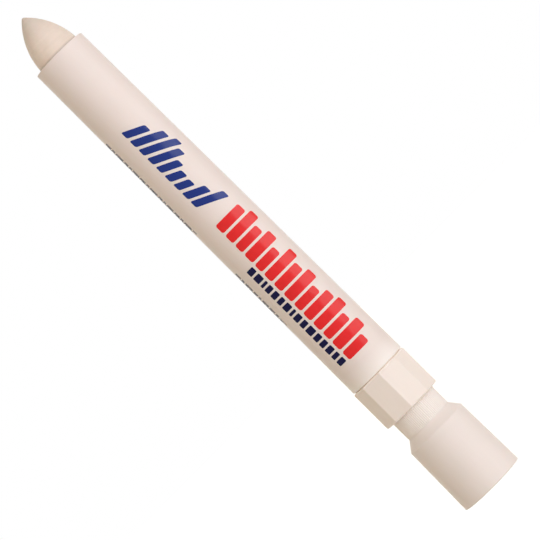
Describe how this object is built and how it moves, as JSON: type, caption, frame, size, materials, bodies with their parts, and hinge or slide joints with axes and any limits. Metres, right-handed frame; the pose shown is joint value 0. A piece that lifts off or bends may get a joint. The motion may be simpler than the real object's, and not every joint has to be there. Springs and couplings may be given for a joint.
{
  "type": "solid paint marker",
  "caption": "Twist-up solid paint marker: tapered barrel, pointed stick of paint, many-sided twist knob at the back and a flared pull-off cap pushed into the knob.",
  "frame": {"origin": "centre of the cap's open rim, which the marker stands on", "axes": "+Z along the barrel from the cap's rim up to the nose of the paint, +Y away from the picture's camera"},
  "size_m": [0.0174, 0.0174, 0.1573],
  "materials": {
    "barrel_plastic": "satin white moulded plastic with printed bands",
    "knob_plastic": "satin white moulded plastic",
    "screw_plastic": "natural moulded plastic",
    "carrier_plastic": "natural moulded plastic",
    "solid_paint": "waxy white solid paint",
    "cap_plastic": "satin white moulded plastic"
  },
  "bodies": {
    "barrel_body": {"barrel": "barrel_plastic"},
    "knob_body": {"twist_knob": "knob_plastic", "feed_screw": "screw_plastic"},
    "paint_body": {"crayon_carrier": "carrier_plastic", "paint_crayon": "solid_paint"},
    "cap_body": {"cap": "cap_plastic"}
  },
  "joints": [
    {"name": "knob_twist", "type": "hinge", "parent": "barrel_body", "child": "knob_body", "pos_m": [0, 0, 0.0382], "axis": [0, 0, 1], "range_deg": [-1080, 5400]},
    {"name": "paint_feed", "type": "slide", "parent": "barrel_body", "child": "paint_body", "axis": [0, 0, 1], "range_m": [-0.0135, 0.0675]},
    {"name": "cap_pull", "type": "slide", "parent": "knob_body", "child": "cap_body", "axis": [0, 0, -1], "range_m": [0, 0.02]}
  ],
  "couplings": [
    {"joint": "paint_feed", "follows": "knob_twist", "m_per_rad": 0.0007162}
  ]
}
